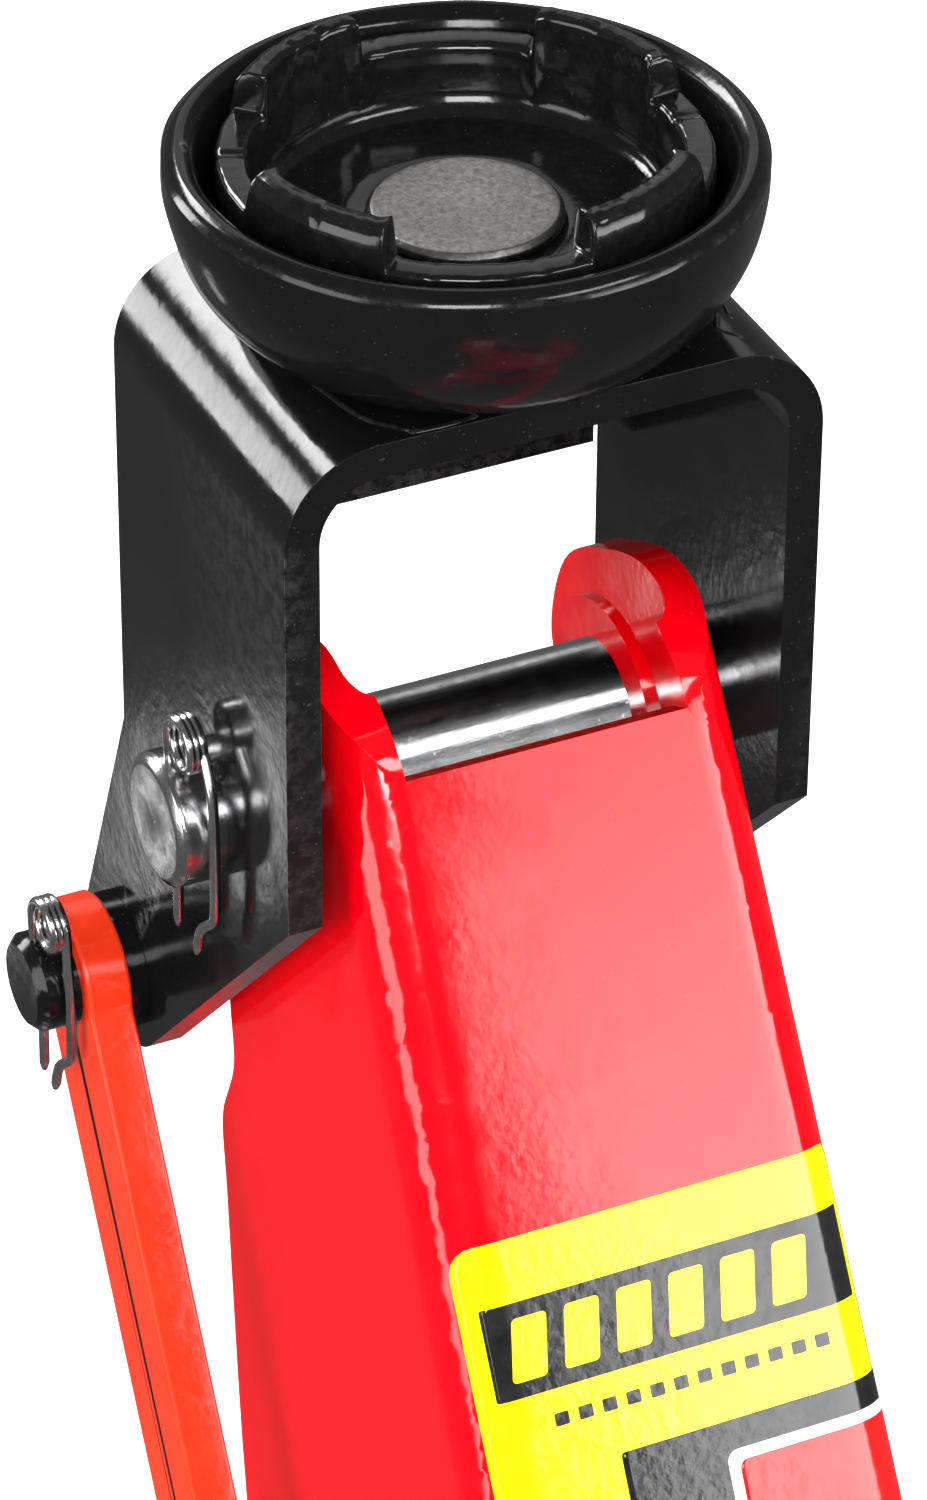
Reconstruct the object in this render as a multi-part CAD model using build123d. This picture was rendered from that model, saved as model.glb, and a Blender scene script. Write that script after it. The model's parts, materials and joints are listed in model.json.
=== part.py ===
from build123d import *
from math import cos, radians, sin
import os

# Hydraulic trolley jack, three-tonne size, with the lift arm raised.
# X is across the jack, +Y runs from the handle to the saddle, +Z is up. Millimetres.
# The model is laid out from the arm pivot line (Y 0) and the floor (Z 0), and is
# moved at the end so that the origin is the centre of the footprint on the floor.

# ---- lift geometry ----
arm_length = 324.0          # arm pivot to yoke pin, and the parallel link's length
arm_angle = 61.5            # slope of the raised arm
lift_travel = 70.0          # swing from lowered to raised
pivot_height = 130.0
link_forward = 35.8         # link pin, forward of and below the yoke pin
link_drop = 54.2
crank_radius = 55.0         # ram pin from the arm pivot
crank_swing = lift_travel / 2

# ---- yoke and saddle ----
yoke_width = 93.2
yoke_plate = 6.0
yoke_bend = 10.0
yoke_rear = -35.4
yoke_front = 32.4
yoke_top = 86.2
yoke_lobe = 16.0
flange_bottom = 33.7
flange_half_width = 37.0
saddle_set_back = -1.0
saddle_lift = 0.2           # running gap under the saddle
dish_foot = 36.0
dish_radius = 48.0
dish_height = 28.8
crown_outer = 39.4
crown_inner = 33.8
crown_floor = 14.8
crown_wall_top = 26.8
crown_lug_top = 33.8
lug_half_angle = 20.5
lug_turn = 25.5
rivet_head = 15.8
rivet_shank = 8.0

# ---- pins ----
yoke_pin_radius = 11.5
yoke_pin_reach = 8.35       # past the left cheek
link_pin_radius = 8.8
running_gap = 0.06          # radial, for every turning or sliding fit
side_gap = 0.3              # along an axis, between moving faces
clip_wire = 0.95

# ---- arm ----
arm_web = 39.0              # web face from the pin axis
arm_plate = 6.0
arm_bend = 10.0
arm_tip_half = 35.0
arm_taper = 0.024
arm_tip_end = -2.0

# ---- link ----
link_inner = 50.0
link_plate = 8.0
link_width = 22.0
link_eye = 13.0

# ---- chassis ----
plate_inner = 76.0
plate_thick = 5.0
plate_outer = plate_inner + plate_thick
axle_forward = 385.0
roller_radius = 31.0
roller_width = 30.0
front_axle_radius = 9.0
pivot_shaft_radius = 12.5
pivot_tube_radius = 19.0
ram_height = 80.0
ram_rod_radius = 14.0
ram_bore = 20.0
cylinder_radius = 36.0
cylinder_front = -60.0
block_front = -165.0
block_rear = -250.0
block_half = 48.0
block_low = 26.0
block_top = 118.0
crosshead_half = 19.0
spring_x = (-20.0, 20.0)
spring_z = 43.0
spring_radius = 5.5
cover_rear = -154.0
cover_front = -62.0
cover_top = 137.0
cover_skin = 1.6

# ---- rear casters ----
caster_x = 122.0
caster_y = -205.0
caster_trail = 25.0
caster_wheel_radius = 35.0
caster_wheel_width = 26.0
outrigger_low = 90.0
outrigger_plate = 6.0

# ---- fastener places on the side plates, as (Y, Z) ----
block_bolt_places = [(-182, 108), (-240, 108)]
cover_screw_places = [(-78, 118), (-134, 119)]
outrigger_bolt_places = [(-160, 122), (-211, 124)]

# ---- handle ----
socket_y = -205.0
socket_height = 160.0
handle_slope = 60.0         # above level, at the top of the pump stroke
pump_travel = 45.0
roller_arm = 28.0
pump_roller_radius = 9.0
handle_radius = 16.0
handle_end = 940.0

parts = {}


def x_rod(radius, x0, x1, y, z):
    return Pos((x0 + x1) / 2, y, z) * Rot(0, 90, 0) * Cylinder(radius, x1 - x0)


def y_rod(radius, y0, y1, x, z):
    return Pos(x, (y0 + y1) / 2, z) * Rot(90, 0, 0) * Cylinder(radius, y1 - y0)


def z_rod(radius, z0, z1, x, y):
    return Pos(x, y, (z0 + z1) / 2) * Cylinder(radius, z1 - z0)


def block(x0, x1, y0, y1, z0, z1):
    return Pos((x0 + x1) / 2, (y0 + y1) / 2, (z0 + z1) / 2) * Box(x1 - x0, y1 - y0, z1 - z0)


def x_hex(across, x0, x1, y, z):
    outline = RegularPolygon(across / 2, 6, major_radius=False)
    return Pos(x0, y, z) * Rot(0, 90, 0) * extrude(outline, x1 - x0)


def z_hex(across, z0, z1, x, y):
    outline = RegularPolygon(across / 2, 6, major_radius=False)
    return Pos(x, y, z0) * extrude(outline, z1 - z0)


def side_profile(sketch, x0, x1):
    """Extrude a sketch drawn as (Y, Z) across the jack."""
    return Pos(x0, 0, 0) * extrude(Plane.YZ * sketch, x1 - x0)


def smooth_outline(points, rounding):
    return make_face(FilletPolyline(points, radius=rounding, close=True))


def turned(points, x=0.0, y=0.0, z=0.0):
    """Revolve an outline drawn as (radius, height) about a vertical axis."""
    return Pos(x, y, z) * revolve(Plane.XZ * make_face(Polyline(points, close=True)), Axis.Z)


def mirrored(solid):
    return mirror(solid, Plane.YZ)


def slope(angle):
    return cos(radians(angle)), sin(radians(angle))


arm_cos, arm_sin = slope(arm_angle)
pin_y = arm_length * arm_cos
pin_z = pivot_height + arm_length * arm_sin
link_top_y = pin_y + link_forward
link_top_z = pin_z - link_drop
link_foot_y = link_forward
link_foot_z = pivot_height - link_drop
half_yoke = yoke_width / 2
link_outer = link_inner + link_plate
crosshead_y = crank_radius * sin(radians(crank_swing))
saddle_y = pin_y + saddle_set_back
saddle_z = pin_z + yoke_top
clip_x = -half_yoke - yoke_pin_reach / 2
link_clip_x = -link_outer - 3.6
crank_along = crank_radius * cos(radians(90 - crank_swing + arm_angle))
crank_out = -crank_radius * sin(radians(90 - crank_swing + arm_angle))
piston_y = socket_y - roller_arm * cos(radians(pump_travel / 4))
piston_top = socket_height + roller_arm * sin(radians(pump_travel / 2)) - pump_roller_radius - 0.6
arm_plane = Plane(origin=(0, 0, pivot_height), x_dir=(0, arm_cos, arm_sin), z_dir=(1, 0, 0))


# ---------------------------------------------------------------- saddle
def make_dish():
    outline = Polyline(
        (15, saddle_lift), (15, 4), (31.5, 4), (31.5, saddle_lift), (dish_foot, saddle_lift)
    )
    flank = Spline((dish_foot, saddle_lift), (44.2, 9.5), (dish_radius, dish_height - 3.4))
    rim = ThreePointArc(
        (dish_radius, dish_height - 3.4), (45.2, dish_height), (42.3, dish_height - 3.0)
    )
    inside = Polyline(
        (42.3, dish_height - 3.0), (40.0, 21.0), (39.8, 9.2), (rivet_shank + 0.05, 9.2),
        (rivet_shank + 0.05, saddle_lift), (15, saddle_lift)
    )
    face = make_face(Curve() + [outline, flank, rim, inside])
    return Pos(0, saddle_y, saddle_z) * revolve(Plane.XZ * face, Axis.Z)


def make_crown():
    base = turned(
        [(rivet_shank + 0.05, 9.4), (crown_outer, 9.4), (crown_outer, crown_lug_top),
         (crown_inner, crown_lug_top), (crown_inner, crown_floor + 4), (31, crown_floor),
         (rivet_shank + 0.05, crown_floor)]
    )
    opening = 90 - 2 * lug_half_angle
    reach = 2 * crown_outer
    for quarter in range(4):
        middle = lug_turn + 45 + 90 * quarter
        gap = make_face(Polyline(
            (0, 0), (reach * cos(radians(-opening / 2)), reach * sin(radians(-opening / 2))),
            (reach * cos(radians(opening / 2)), reach * sin(radians(opening / 2))), close=True
        ))
        base -= Rot(0, 0, middle) * Pos(0, 0, crown_wall_top) * extrude(gap, 20)
    return Pos(0, saddle_y, saddle_z) * base


def make_saddle_pin():
    head_low = crown_floor + 0.05
    return turned(
        [(0, -10.5), (rivet_shank - 1, -10.5), (rivet_shank, -9.5), (rivet_shank, head_low),
         (rivet_head, head_low), (rivet_head, head_low + 1.2), (rivet_head - 1.2, head_low + 2.0),
         (0, head_low + 2.0)],
        0, saddle_y, saddle_z
    )


def make_saddle_ring():
    low = -yoke_plate - side_gap
    return turned(
        [(rivet_shank + 0.02, low - 3.2), (14, low - 3.2), (14, low), (rivet_shank + 0.02, low)],
        0, saddle_y, saddle_z
    )


# ---------------------------------------------------------------- yoke
def make_yoke():
    height = 200.0
    outer = Pos(0, yoke_top - height / 2) * RectangleRounded(
        yoke_width, height, yoke_bend + yoke_plate
    )
    inner = Pos(0, yoke_top - yoke_plate - height / 2) * RectangleRounded(
        yoke_width - 2 * yoke_plate, height, yoke_bend
    )
    channel = Pos(0, 60, 0) * extrude(Plane.XZ * (outer - inner), 120)
    lobe = (link_forward, -link_drop)
    outline = make_face(Polyline(
        (yoke_rear, yoke_top), (yoke_rear, -2), (lobe[0] - 0.744 * yoke_lobe,
         lobe[1] - 0.668 * yoke_lobe), lobe, (lobe[0] + 0.93 * yoke_lobe,
         lobe[1] + 0.36 * yoke_lobe), (yoke_front, -2), (yoke_front, yoke_top), close=True
    ))
    outline += Pos(*lobe) * Circle(yoke_lobe)
    cheeks = channel & side_profile(outline, -half_yoke, half_yoke)
    flange = block(
        -flange_half_width, flange_half_width, yoke_front - yoke_plate, yoke_front,
        flange_bottom, yoke_top - yoke_plate / 2
    )
    yoke = cheeks + flange
    yoke = Pos(0, pin_y, pin_z) * yoke
    yoke -= x_rod(yoke_pin_radius + 0.03, -60, 60, pin_y, pin_z)
    yoke -= x_rod(link_pin_radius + 0.03, -60, 0, link_top_y, link_top_z)
    yoke -= x_rod(link_pin_radius + 0.03, 0, 60, link_top_y, link_top_z)
    yoke -= z_rod(rivet_shank + running_gap, saddle_z - 20, saddle_z + 5, 0, saddle_y)
    return yoke


def make_r_clip(x, y, z, pin_radius):
    """Split clip: one leg down through the pin, a double eye on top, one leg in front."""
    eye = 4.4
    eye_z = z + pin_radius + eye + 1.2
    leg = z_rod(clip_wire, z - pin_radius - 11.0, eye_z - 1.0, x, y)
    clip = leg
    for step in (-1.05, 1.05):
        ring = Pos(x + step, y - eye, eye_z) * Rot(0, 90, 0) * Torus(eye, clip_wire)
        clip += ring
    front_y = y - pin_radius - 1.5
    path = FilletPolyline(
        (x + 1.0, y - 2 * eye + 0.2, eye_z + 1.0), (x + 1.0, front_y, eye_z - 5.0),
        (x + 1.0, front_y, z - pin_radius - 2.0), (x - 0.5, front_y + 5.0, z - pin_radius - 11.0),
        radius=2.5
    )
    return clip + sweep(Plane(path @ 0, z_dir=path % 0) * Circle(clip_wire), path)


def make_yoke_pin():
    end = -half_yoke - yoke_pin_reach
    pin = x_rod(yoke_pin_radius, end, half_yoke + 0.4, pin_y, pin_z)
    pin = chamfer(pin.faces().sort_by(Axis.X)[0].edges(), 0.8)
    pin += x_rod(15.5, half_yoke + 0.2, half_yoke + 5.2, pin_y, pin_z)
    pin -= z_rod(clip_wire + 0.15, pin_z - 20, pin_z + 20, clip_x, pin_y)
    return pin


def make_link_pin():
    end = -link_outer - 7.3
    pin = x_rod(link_pin_radius, end, -half_yoke + yoke_plate + 0.3, link_top_y, link_top_z)
    pin = chamfer(pin.faces().sort_by(Axis.X)[0].edges(), 1.6)
    pin += x_rod(12.0, -half_yoke + yoke_plate + 0.1, -half_yoke + yoke_plate + 3.6,
                 link_top_y, link_top_z)
    pin += x_rod(12.0, -link_inner + side_gap, -half_yoke - 0.05, link_top_y, link_top_z)
    pin -= z_rod(clip_wire + 0.15, link_top_z - 20, link_top_z + 20, link_clip_x, link_top_y)
    return pin


# ---------------------------------------------------------------- arm
def arm_section(along, half_width, top, rounding):
    depth = 170.0
    centre = arm_plane.origin + arm_plane.x_dir * along
    plane = Plane(origin=centre, x_dir=(1, 0, 0), z_dir=arm_plane.x_dir)
    return plane * Pos(0, depth / 2 - top) * RectangleRounded(2 * half_width, depth, rounding)


def arm_half_width(along):
    return arm_tip_half + arm_taper * (arm_length - along)


def make_arm():
    tip = arm_length - arm_tip_end
    ear = Spline(
        (tip, arm_web), (arm_length + 15, 33.6), (arm_length + 23, 26.5),
        (arm_length + 26.5, 8), (arm_length + 24, -9), (arm_length + 12, -21.5),
        (arm_length - 6, -26),
        tangents=[(1, -0.1), (-1, -0.3)]
    )
    front = Line((arm_length - 6, -26), (arm_length - 42, -38.5))
    step = Spline(
        (arm_length - 42, -38.5), (arm_length - 50.5, -41.6), (arm_length - 59.5, -51.5),
        (arm_length - 74, -57.5), tangents=[(-1, -0.3), (-1, -0.36)]
    )
    belly = Spline(
        (arm_length - 74, -57.5), (arm_length - 135, -79), (arm_length - 200, -90), (30, -76),
        tangents=[(-1, -0.36), (-1, 0.25)]
    )
    base = Spline(
        (30, -76), (crank_along - 4, crank_out - 21), (crank_along - 22, crank_out),
        (-38, 2), (-24, 29), (6, arm_web), tangents=[(-1, 0.2), (1, 0.15)]
    )
    web = Line((6, arm_web), (tip, arm_web))
    outline = make_face(Curve() + [ear, front, step, belly, base, web])
    side = extrude(arm_plane * outline, 60, both=True)
    far, near = arm_length + 40, -70
    outer = loft([
        arm_section(near, arm_half_width(near), arm_web, arm_bend),
        arm_section(far, arm_half_width(far), arm_web, arm_bend),
    ])
    inner = loft([
        arm_section(near, arm_half_width(near) - arm_plate, arm_web - arm_plate,
                    arm_bend - arm_plate),
        arm_section(far, arm_half_width(far) - arm_plate, arm_web - arm_plate,
                    arm_bend - arm_plate),
    ])
    arm = (outer & side) - inner
    flat = arm_tip_half - arm_bend
    arm -= arm_plane * Pos(tip + 20, arm_web) * Box(40, 2 * arm_plate + 4, 2 * flat)
    arm -= x_rod(15.1, -60, 60, pin_y, pin_z)
    arm -= x_rod(pivot_tube_radius + 0.02, -60, 60, 0, pivot_height)
    crank = arm_plane.from_local_coords(Vector(crank_along, crank_out, 0))
    arm -= x_rod(8.02, -60, 60, crank.Y, crank.Z)
    return arm


def make_tip_bosses(arm):
    """Bushes through the ears, with a low collar that seats on the tapered inner wall."""
    start = arm_tip_half - arm_plate - 2.6
    collar = x_rod(18.5, start, start + 3.6, pin_y, pin_z) - arm
    boss = x_rod(15.05, start, half_yoke - yoke_plate - side_gap, pin_y, pin_z) + collar
    boss -= x_rod(yoke_pin_radius + running_gap, 0, 60, pin_y, pin_z)
    return Compound(children=[boss, mirrored(boss)])


def make_pivot_tube():
    reach = plate_inner - side_gap
    tube = x_rod(pivot_tube_radius, -reach, reach, 0, pivot_height)
    return tube - x_rod(pivot_shaft_radius + running_gap, -reach - 5, reach + 5, 0, pivot_height)


def make_crank_pin():
    crank = arm_plane.from_local_coords(Vector(crank_along, crank_out, 0))
    reach = arm_half_width(crank_along) - 0.4
    return x_rod(8.0, -reach, reach, crank.Y, crank.Z)


# ---------------------------------------------------------------- parallel link
def make_link():
    foot_x = -link_outer
    bar = Rot(0, 0, arm_angle) * Pos(arm_length / 2, 0) * Rectangle(arm_length, link_width)
    bar += Circle(link_eye)
    bar += Pos(arm_length * arm_cos, arm_length * arm_sin) * Circle(link_eye)
    link = Pos(0, link_foot_y, link_foot_z) * side_profile(bar, foot_x, foot_x + link_plate)
    for y, z in ((link_foot_y, link_foot_z), (link_top_y, link_top_z)):
        link -= x_rod(link_pin_radius + running_gap, -70, -40, y, z)
    return link


def make_anchor_pin():
    pin = x_rod(link_pin_radius, -plate_outer - 16, -link_inner + 0.3, link_foot_y, link_foot_z)
    return pin + x_rod(12.0, -link_inner + side_gap, -link_inner + 3.6, link_foot_y, link_foot_z)


def make_anchor_spacer():
    tube = x_rod(13.0, -plate_inner + 0.02, -link_outer - side_gap, link_foot_y, link_foot_z)
    return tube - x_rod(link_pin_radius + 0.03, -90, -50, link_foot_y, link_foot_z)


# ---------------------------------------------------------------- chassis
def make_side_plate(sign):
    outline = smooth_outline([
        (409, 31), (398, 58), (300, 84), (130, 104), (62, 150), (36, 172), (-36, 172),
        (-72, 148), (-165, 148), (-186, 182), (-226, 182), (-262, 148), (-262, 90),
        (-120, 86), (-84, 26), (60, 12), (388, 10)
    ], 9)
    plate = side_profile(outline, plate_inner, plate_outer)
    for y, z, radius in (
        (axle_forward, roller_radius, front_axle_radius + 0.02),
        (0, pivot_height, pivot_shaft_radius + 0.02),
        (socket_y, socket_height, 7.02),
        (322, 46, 13), (250, 50, 17), (160, 52, 20),
    ):
        plate -= x_rod(radius, 60, 100, y, z)
    if sign < 0:
        plate -= x_rod(link_pin_radius + 0.02, 60, 100, link_foot_y, link_foot_z)
    for y, z in block_bolt_places:
        plate -= x_rod(5.1, 60, 100, y, z)
    for y, z in cover_screw_places:
        plate -= x_rod(2.6, 60, 100, y, z)
    for y, z in outrigger_bolt_places:
        plate -= x_rod(4.1, 60, 100, y, z)
    return plate if sign > 0 else mirrored(plate)


def make_brace():
    plate = block(-plate_inner + 0.02, plate_inner - 0.02, -56, 8, 28, 34)
    return plate - block(-26, 26, -40, -8, 20, 40)


def make_front_axle():
    reach = plate_outer + roller_width + 18
    axle = x_rod(front_axle_radius, -reach, reach, axle_forward, roller_radius)
    return chamfer(axle.faces().sort_by(Axis.X)[-1].edges(), 1.5)


def make_axle_nuts():
    start = plate_outer + roller_width + 2.6
    nut = x_hex(27, start, start + 10, axle_forward, roller_radius)
    nut += x_rod(15, start - 1.8, start + 0.1, axle_forward, roller_radius)
    nut -= x_rod(front_axle_radius + 0.02, 60, 200, axle_forward, roller_radius)
    return Compound(children=[nut, mirrored(nut)])


def make_front_roller():
    start = plate_outer + 0.4
    end = start + roller_width
    half_bore = front_axle_radius + running_gap
    rim, edge = roller_radius - 6, roller_radius - 2
    points = [(half_bore, 0), (15, 0), (15, 3), (rim, 3), (rim, 0), (edge, 0), (roller_radius, 2),
              (roller_radius, roller_width - 2), (edge, roller_width), (rim, roller_width),
              (rim, roller_width - 3), (15, roller_width - 3), (15, roller_width),
              (half_bore, roller_width)]
    wheel = turned(points)
    return Pos((start + end) / 2 - roller_width / 2, axle_forward, roller_radius) * (
        Rot(0, 90, 0) * wheel
    )


def make_pivot_shaft():
    reach = plate_outer + 14
    shaft = x_rod(pivot_shaft_radius, -reach, reach, 0, pivot_height)
    return chamfer(shaft.faces().sort_by(Axis.X)[-1].edges(), 1.5)


def make_pivot_nuts():
    start = plate_outer + 2.2
    nut = x_hex(36, start, start + 10, 0, pivot_height)
    nut += x_rod(21, plate_outer + 0.02, start + 0.1, 0, pivot_height)
    nut -= x_rod(pivot_shaft_radius + 0.02, 60, 120, 0, pivot_height)
    return Compound(children=[nut, mirrored(nut)])


def make_anchor_nut():
    start = plate_outer + 2.0
    nut = x_hex(27, start, start + 9, link_foot_y, link_foot_z)
    nut += x_rod(15, plate_outer + 0.02, start + 0.1, link_foot_y, link_foot_z)
    nut -= x_rod(link_pin_radius + 0.02, 60, 120, link_foot_y, link_foot_z)
    return mirrored(nut)


# ---------------------------------------------------------------- hydraulic unit
def make_pump_block():
    body = block(-block_half, block_half, block_rear, block_front, block_low, block_top)
    body = chamfer(body.edges().filter_by(Axis.Y), 4)
    wing = plate_inner - 0.02
    body += block(-wing, wing, block_rear + 3, block_front - 8, 96, block_top - 2)
    body -= z_rod(6.0 + running_gap, block_top - 50, block_top + 5, 0, piston_y)
    body -= z_rod(5.0 + running_gap, block_top - 24, block_top + 5, 0, socket_y)
    for y, z in block_bolt_places:
        body -= x_rod(5.02, wing - 16, wing + 5, y, z)
        body -= x_rod(5.02, -wing - 5, -wing + 16, y, z)
    for x in spring_x:
        body -= y_rod(2.02, block_front - 12, block_front + 5, x, spring_z)
    return body


def make_block_bolts():
    """Hex bolts with washers, through each outrigger and side plate into the pump block."""
    bolts = []
    outer = plate_outer + outrigger_plate + 0.04
    for y, z in block_bolt_places:
        bolt = x_hex(15, outer + 1.6, outer + 8, y, z)
        bolt += x_rod(9, outer, outer + 1.7, y, z)
        bolt += x_rod(5.0, plate_inner - 14, outer + 2, y, z)
        bolts += [bolt, mirrored(bolt)]
    return Compound(children=bolts)


def make_cylinder():
    tube = y_rod(cylinder_radius, block_front + 0.02, cylinder_front, 0, ram_height)
    tube = chamfer(tube.faces().sort_by(Axis.Y)[-1].edges(), 2)
    return tube - y_rod(ram_bore, block_front + 4, cylinder_front + 5, 0, ram_height)


def make_gland():
    nut = Pos(0, cylinder_front + 0.02, ram_height) * Rot(-90, 0, 0) * extrude(
        RegularPolygon(28, 6, major_radius=False), 7
    )
    nut += y_rod(ram_bore - 0.02, cylinder_front - 10, cylinder_front + 1, 0, ram_height)
    return nut - y_rod(ram_rod_radius + running_gap, -120, 0, 0, ram_height)


def make_ram_rod():
    back = crosshead_y - crosshead_half
    rod = y_rod(ram_rod_radius, -80, back - 0.02, 0, ram_height)
    return rod + y_rod(ram_bore - running_gap, -92, -74, 0, ram_height)


def make_crosshead():
    head = block(
        -30, 30, crosshead_y - crosshead_half, crosshead_y + crosshead_half,
        ram_height - 26, ram_height + 26
    )
    head = chamfer(head.edges().filter_by(Axis.X), 4)
    for x in spring_x:
        head += block(x - 5, x + 5, crosshead_y - crosshead_half, crosshead_y - 4,
                      spring_z - 7, ram_height - 20)
    slot = block(-40, 40, crosshead_y - 9.15, crosshead_y + 9.15, ram_height - 14.5,
                 ram_height + 14.5)
    head -= fillet(slot.edges().filter_by(Axis.X), 3)
    for x in spring_x:
        head -= y_rod(2.02, crosshead_y - 40, crosshead_y + 10, x, spring_z)
    return head


def make_return_springs(x):
    """Coil envelope of a pull spring, hooked to the pump block and the crosshead."""
    rear = block_front + 9
    front = crosshead_y - crosshead_half - 8
    coil = y_rod(spring_radius, rear, front, x, spring_z)
    coil -= y_rod(spring_radius - 1.6, rear + 3, front - 3, x, spring_z)
    coil += y_rod(1.6, rear - 17, rear + 1, x, spring_z)
    coil += y_rod(1.6, front - 1, front + 14, x, spring_z)
    return coil


def make_cover():
    wide = plate_inner - 0.1
    cover = block(-wide, wide, cover_rear, cover_front, cover_top - cover_skin, cover_top)
    sheet = block(wide - cover_skin, wide, cover_rear, cover_front, 110, cover_top)
    cover += sheet
    cover += mirrored(sheet)
    cover += block(-wide, wide, cover_front - cover_skin, cover_front, cover_top - 14, cover_top)
    for y, z in cover_screw_places:
        cover -= x_rod(2.6, -100, 100, y, z)
    return cover


def make_cover_screws():
    screws = []
    for y, z in cover_screw_places:
        screw = x_rod(4.6, plate_outer + 0.04, plate_outer + 2.6, y, z)
        screw += x_rod(2.4, plate_inner - 5, plate_outer + 1, y, z)
        screw -= block(plate_outer + 1.6, plate_outer + 5, y - 3, y + 3, z - 0.5, z + 0.5)
        screws += [screw, mirrored(screw)]
    return Compound(children=screws)


# ---------------------------------------------------------------- pump
def make_pump_piston():
    rod = z_rod(6.0, piston_top - 66, piston_top - 1, 0, piston_y)
    return rod + z_rod(10.5, piston_top - 4, piston_top, 0, piston_y)


def make_pump_spring():
    top = piston_top - 4.1
    tube = z_rod(9.6, block_top + 0.1, top, 0, piston_y)
    return tube - z_rod(7.4, block_top - 1, top + 1, 0, piston_y)


def make_release_valve():
    stem = z_rod(5.0, block_top - 20, socket_height - 24, 0, socket_y)
    stem += z_rod(7.5, block_top + 8, socket_height - 18, 0, socket_y)
    fork = z_rod(7.5, socket_height - 18.1, socket_height - 9, 0, socket_y)
    fork -= block(-3.5, 3.5, socket_y - 10, socket_y + 10, socket_height - 16, socket_height)
    return stem + fork


# ---------------------------------------------------------------- handle
handle_place = Pos(0, socket_y, socket_height) * Rot(90 - handle_slope, 0, 0)
roller_turn = radians(handle_slope - pump_travel / 2)
roller_local = (-roller_arm * sin(roller_turn), roller_arm * cos(roller_turn))


def make_socket():
    tube = z_rod(21, 36, 150, 0, 0)
    ear_outline = Circle(17) + Pos(*roller_local) * Circle(11.5)
    ear_outline += make_face(Polyline(
        (-15, -8), (roller_local[0] - 9, roller_local[1] - 7),
        (roller_local[0] - 9, roller_local[1] + 8),
        (-19, 60), (19, 60), (17, 0), (9, -14.4), close=True
    ))
    ear = side_profile(ear_outline, 13, 19)
    socket = tube + ear + mirrored(ear)
    socket -= z_rod(handle_radius + 0.1, 52, 160, 0, 0)
    socket -= z_rod(7.5, 20, 60, 0, 0)
    socket -= x_rod(7.0 + running_gap, -30, 30, 0, 0)
    socket -= x_rod(5.02, -30, 30, *roller_local)
    socket -= y_rod(4.02, 10, 30, 0, 132)
    return handle_place * socket


def make_pump_roller():
    ring = x_rod(pump_roller_radius, -12.4, 12.4, *roller_local)
    ring -= x_rod(5.0 + running_gap, -20, 20, *roller_local)
    return handle_place * ring


def make_roller_pin():
    return handle_place * x_rod(5.0, -20.5, 20.5, *roller_local)


def make_clamp_screw():
    screw = y_rod(4.0, handle_radius + 0.2, 30, 0, 132)
    screw += y_rod(9.0, 30, 37, 0, 132)
    screw -= y_rod(30.0, 29, 40, 0, 132) - y_rod(9.5, 28, 41, 0, 132)
    return handle_place * screw


def make_pivot_pins():
    pin = x_rod(7.0, 13.0, plate_outer + 1, socket_y, socket_height)
    pin += x_rod(12.0, 19.3, plate_inner - 0.1, socket_y, socket_height)
    pin += x_rod(11.0, plate_outer + 0.05, plate_outer + 5, socket_y, socket_height)
    return Compound(children=[pin, mirrored(pin)])


def make_release_driver():
    shaft = z_rod(6.0, 20, 64, 0, 0) + z_rod(13.4, 62, 68, 0, 0)
    fork = z_rod(6.0, 9, 20.1, 0, 0) - block(-2.6, 2.6, -10, 10, 5, 17)
    return handle_place * (shaft + fork)


def make_lower_tube():
    tube = z_rod(handle_radius, 62, 500, 0, 0) - z_rod(handle_radius - 2.5, 50, 520, 0, 0)
    return handle_place * (tube - y_rod(4.3, 5, 20, 0, 470))


def make_upper_tube():
    tube = z_rod(13.44, 430, handle_end - 4, 0, 0) - z_rod(11.0, 420, handle_end, 0, 0)
    return handle_place * (tube - y_rod(4.3, 5, 20, 0, 470))


def make_lock_button():
    button = y_rod(4.1, 10.2, 18.2, 0, 470)
    return handle_place * (button + Pos(0, 18.2, 470) * Sphere(4.1))


def make_grip():
    sleeve = z_rod(17.5, handle_end - 130, handle_end, 0, 0)
    for ring in range(9):
        groove = Pos(0, 0, handle_end - 118 + 12 * ring) * Torus(18.6, 2.2)
        sleeve -= groove
    return handle_place * (sleeve - z_rod(13.5, handle_end - 140, handle_end - 4, 0, 0))


# ---------------------------------------------------------------- casters
def make_outrigger():
    y0, y1 = caster_y - 52, caster_y + 56
    outer = plate_outer + 0.02
    leg = block(outer, outer + outrigger_plate, y0, y1, outrigger_low, 134)
    shelf = block(outer, caster_x + 34, y0, y1, outrigger_low, outrigger_low + outrigger_plate)
    shelf = chamfer(shelf.edges().filter_by(Axis.Z).sort_by(Axis.X)[2:], 18)
    bracket = leg + shelf
    bracket -= z_rod(7.02, 80, 110, caster_x, caster_y)
    for y, z in outrigger_bolt_places:
        bracket -= x_rod(4.1, 60, 110, y, z)
    for y, z in block_bolt_places:
        bracket -= x_rod(5.1, 60, 110, y, z)
    return bracket


def make_outrigger_bolts():
    bolts = []
    outer = plate_outer + outrigger_plate + 0.04
    for y, z in outrigger_bolt_places:
        bolt = x_hex(13, outer, outer + 5.5, y, z)
        bolt += x_rod(4.0, plate_inner - 4, outer + 0.1, y, z)
        bolts += [bolt, mirrored(bolt)]
    return Compound(children=bolts)


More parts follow.
